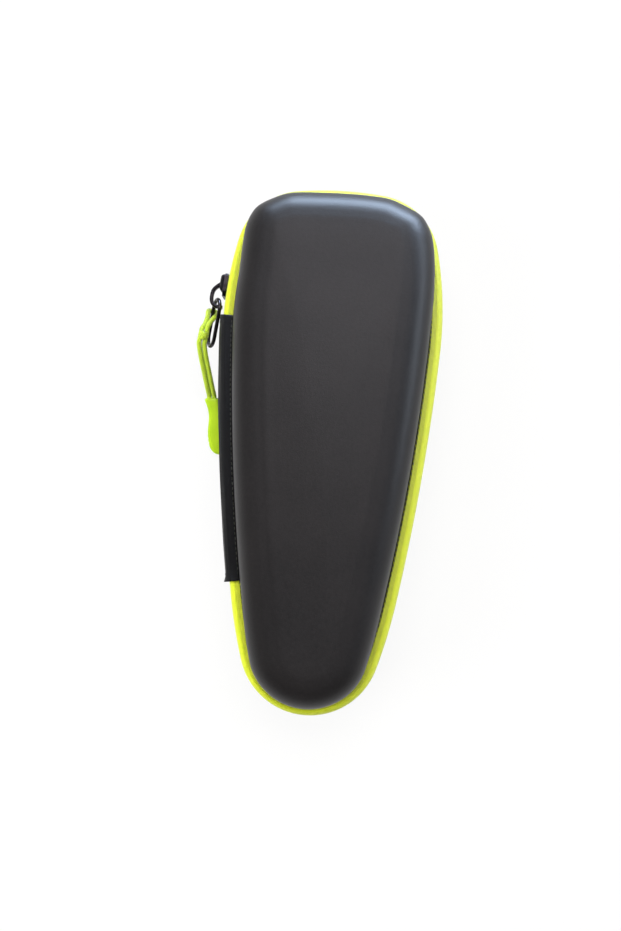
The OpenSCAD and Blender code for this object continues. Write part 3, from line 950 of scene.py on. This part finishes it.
def wire_path():
    """Middle line of the wire loop: two straight limbs and two half-round ends."""
    r = LOOP_W / 2
    path = []
    for end, start in ((r, 180), (LOOP_L - r, 0)):
        for a in np.linspace(start, start + 180, 24):
            turned = math.radians(a)
            path.append((0, end + r * math.sin(turned), r * math.cos(turned)))
    first, second = path[:24], path[24:]
    limb = np.linspace(0, 1, 14)[1:-1, None]
    down = np.array(first[-1]) * (1 - limb) + np.array(second[0]) * limb
    back = np.array(second[-1]) * (1 - limb) + np.array(first[0]) * limb
    return placed(IN_LOOP, first + [tuple(p) for p in down] + second + [tuple(p) for p in back])


slider_bridge()
slider_crown()
tube("wire_ring", wire_path(), WIRE_D / 2, 18, "wire_loop", "wire_metal", "pull_wire", closed=True)

# The cord: up from the tag, through the knot, round the loop's outer limb and back down
TAG_AT = (-1.1, 39.5, -20.6)
STRAND = CORD_D / 2 + 0.1
WRAP = WIRE_D / 2 + CORD_D / 2 + 0.25
LIMB = LOOP_W / 2
KNOT_X, KNOT_Y = 3.6, 13.6


def cord_path():
    """Both strands from the grip up to the knot, and the bight between them round the wire."""
    hang = [(4.25, 17.5, -3.05), (4.3, 19.4, -3.9), (3.2, 24, -7), (1.4, 30, -12), (-0.2, 35.5, -17),
            (TAG_AT[0], TAG_AT[1] - 1, TAG_AT[2] + 0.2), (TAG_AT[0] - 0.2, TAG_AT[1] + 1.6, TAG_AT[2] - 0.5)]
    offset = np.array([0.94, 0, 0.34]) * STRAND
    far = [np.array(p) + offset for p in hang]
    near = [np.array(p) - offset for p in hang]
    bight = [(KNOT_X + 1.1, KNOT_Y + 1.2, -0.3), (KNOT_X + 0.9, KNOT_Y - 0.4, -0.8),
             (KNOT_X - 0.3, 11.2, -1.5), (WRAP + 0.3, 8.2, -2.8), (WRAP, 6.4, -LIMB),
             (WRAP * 0.7, 5.9, -LIMB - WRAP * 0.7),
             (0, 5.8, -LIMB - WRAP), (-WRAP * 0.7, 5.9, -LIMB - WRAP * 0.7), (-WRAP, 6.4, -LIMB),
             (-WRAP * 0.7, 7, -LIMB + WRAP * 0.9), (0, 8, -LIMB + WRAP * 1.4), (1.6, 10, -0.1),
             (KNOT_X - 1, 12, 0.7), (KNOT_X - 1.1, KNOT_Y + 1.2, 0.3)]
    round_limb = [np.array(TO_LOOP @ Vector(p)) for p in bight]
    return placed(AT_PIN, smooth_chain(far[::-1] + round_limb + near, 6))


CORD = cord_path()
cord = tube("pull_cord", CORD, CORD_D / 2, 14, "pull", "cord", ["cord_bight", "cord_strands"])


def knot_piece():
    """Barrel knot: two and a half turns of the cord round its own two legs."""
    path = []
    for t in np.linspace(0, 1, 90):
        a = 2 * math.pi * 2.4 * t
        radius = 1.42 + 0.12 * math.sin(2 * a)
        tuck = 0.75 * max(0.0, 1 - min(t, 1 - t) / 0.12)
        path.append((KNOT_X + (radius - tuck) * math.cos(a), KNOT_Y + 1.0 + 2.1 * t + 0.25 * math.sin(a),
                     (radius - tuck) * math.sin(a)))
    return tube("cord_wraps", placed(IN_LOOP, path), 0.95, 12, "pull", "cord", "cord_knot")


knot = knot_piece()


def tag_piece():
    """Moulded grip: waisted, bent to one side, with ribs near its round lower end."""
    bend = 1.7
    into = AT_PIN @ Matrix.Translation(TAG_AT) @ turn(-10, "X") @ turn(12, "Z")
    rows = []
    ledge = [0.0, 0.004, 0.015, 0.035]
    for t in np.concatenate([ledge, np.linspace(0.06, 0.8, 40), np.linspace(0.82, 1, 16)]):
        middle = bend * (1 - math.cos(math.pi * min(1, t * 1.25))) / 2 + 0.9 * math.sin(2 * math.pi * t)
        waist = 1 - 0.09 * math.sin(2 * math.pi * 1.25 * t)
        round_end = math.sqrt(max(0.004, 1 - ((t - 0.8) / 0.2) ** 2)) if t >= 0.8 else waist
        thin_end = math.sqrt(max(0.02, 1 - ((t - 0.9) / 0.1) ** 2)) if t >= 0.9 else 1
        half = TAG_W / 2 * round_end
        thick = TAG_T / 2 * (1 - 0.1 * t) * thin_end
        start = min(1.0, 0.78 + 0.22 * math.sqrt(min(1.0, t / 0.035)))
        rib = 1 - 0.055 * sum(math.exp(-((t - place) / 0.011) ** 2) for place in (0.62, 0.7, 0.78))
        ring = []
        for a in np.arange(28) * 2 * math.pi / 28:
            x = squared(math.cos(a), 0.62) * half * start * rib
            z = squared(math.sin(a), 0.8) * thick * start * rib
            ring.append((-middle + x, t * TAG_L, z))
        rows.append(placed(into, ring))
    us = spread([row[0] for row in rows])
    vs = [k * 0.6 for k in range(29)]
    finish_mesh("grip_tag", *grid(rows, us, vs, False, True, True), "pull", "tag_rubber", "pull_tag")


tag_piece()


# Floor and light
def stage():
    """A white floor that keeps the shadow; the camera and reflections see it glow nearly white."""
    m = Maker("floor", (0.86, 0.86, 0.86), 0.9, specular=0.0)
    rays = m.node("ShaderNodeLightPath")
    glow = m.node("ShaderNodeEmission")
    glow.inputs["Color"].default_value = (1, 1, 1, 1)
    glow.inputs["Strength"].default_value = 1.0
    mix = m.node("ShaderNodeMixShader")
    seen = m.math("MAXIMUM", rays.outputs["Is Camera Ray"], rays.outputs["Is Glossy Ray"])
    m.link(m.math("MULTIPLY", seen, 0.88), mix.inputs[0])
    m.link(m.shader.outputs[0], mix.inputs[1])
    m.link(glow.outputs[0], mix.inputs[2])
    m.link(mix.outputs[0], m.tree.nodes["Material Output"].inputs["Surface"])
    half = 40.0
    mesh = bpy.data.meshes.new("floor")
    corners = [(-half, -half, 0), (half, -half, 0), (half, half, 0), (-half, half, 0)]
    mesh.from_pydata(corners, [], [(0, 1, 2, 3)])
    mesh.materials.append(m.material)
    floor = bpy.data.objects.new("floor", mesh)
    floor.location.z = float(cad_box[0][2]) - 0.0002
    bpy.context.scene.collection.objects.link(floor)


def lamp(name, place, target, size, watts, color, diffuse=True, gloss=True):
    data = bpy.data.lights.new(name, "AREA")
    data.shape = "RECTANGLE"
    data.size, data.size_y = size
    data.energy = watts
    data.color = color
    light = bpy.data.objects.new(name, data)
    bpy.context.scene.collection.objects.link(light)
    light.location = place
    light.visible_diffuse = diffuse
    light.visible_glossy = gloss
    light.rotation_euler = (Vector(target) - Vector(place)).to_track_quat("-Z", "Y").to_euler()


def lights():
    """A world brighter towards the head, soft lamps for colour and two windows for the sheen."""
    world = bpy.data.worlds.new("world")
    bpy.context.scene.world = world
    world.use_nodes = True
    tree = world.node_tree
    shade = tree.nodes["Background"]
    ramp = tree.nodes.new("ShaderNodeValToRGB")
    ramp.color_ramp.elements[0].position = 0.30
    ramp.color_ramp.elements[0].color = (0.30, 0.30, 0.31, 1)
    ramp.color_ramp.elements[1].position = 0.78
    ramp.color_ramp.elements[1].color = (1.0, 1.02, 1.08, 1)
    toward = tree.nodes.new("ShaderNodeSeparateXYZ")
    half = tree.nodes.new("ShaderNodeMath")
    half.operation = "MULTIPLY_ADD"
    half.inputs[1].default_value = 0.5
    half.inputs[2].default_value = 0.5
    tree.links.new(tree.nodes.new("ShaderNodeTexCoord").outputs["Generated"], toward.inputs[0])
    tree.links.new(toward.outputs["Y"], half.inputs[0])
    tree.links.new(half.outputs[0], ramp.inputs[0])
    tree.links.new(ramp.outputs[0], shade.inputs["Color"])
    shade.inputs["Strength"].default_value = 0.5
    seen = tree.nodes.new("ShaderNodeBackground")
    seen.inputs["Color"].default_value = (1, 1, 1, 1)
    seen.inputs["Strength"].default_value = 1.0
    rays = tree.nodes.new("ShaderNodeLightPath")
    mix = tree.nodes.new("ShaderNodeMixShader")
    tree.links.new(rays.outputs["Is Camera Ray"], mix.inputs[0])
    tree.links.new(shade.outputs[0], mix.inputs[1])
    tree.links.new(seen.outputs[0], mix.inputs[2])
    tree.links.new(mix.outputs[0], tree.nodes["World Output"].inputs["Surface"])
    centre = (0, 0, 0.03)
    lamp("window", (0.22, 0.85, 0.26), (0, 0.09, 0.045), (1.1, 0.42), 52.0, (0.60, 0.76, 1.0), diffuse=False)
    lamp("side_window", (0.9, 0.25, 0.30), centre, (0.5, 0.3), 4.0, (0.75, 0.86, 1.0), diffuse=False)
    lamp("overhead", (0.0, 0.45, 0.95), centre, (0.8, 0.5), 8.2, (1.0, 0.98, 0.96), gloss=False)
    lamp("soft_top", (0.05, 0.36, 0.95), centre, (0.6, 0.35), 2.8, (1.0, 0.90, 0.90), diffuse=False)
    lamp("side_fill", (-0.75, -0.25, 0.55), centre, (0.6, 0.6), 6.5, (1.0, 0.98, 0.95), gloss=False)
    lamp("right_fill", (0.75, 0.1, 0.55), centre, (0.6, 0.6), 2.4, (1.0, 0.98, 0.96), gloss=False)


stage()
lights()

bpy.context.scene.view_settings.view_transform = "Standard"
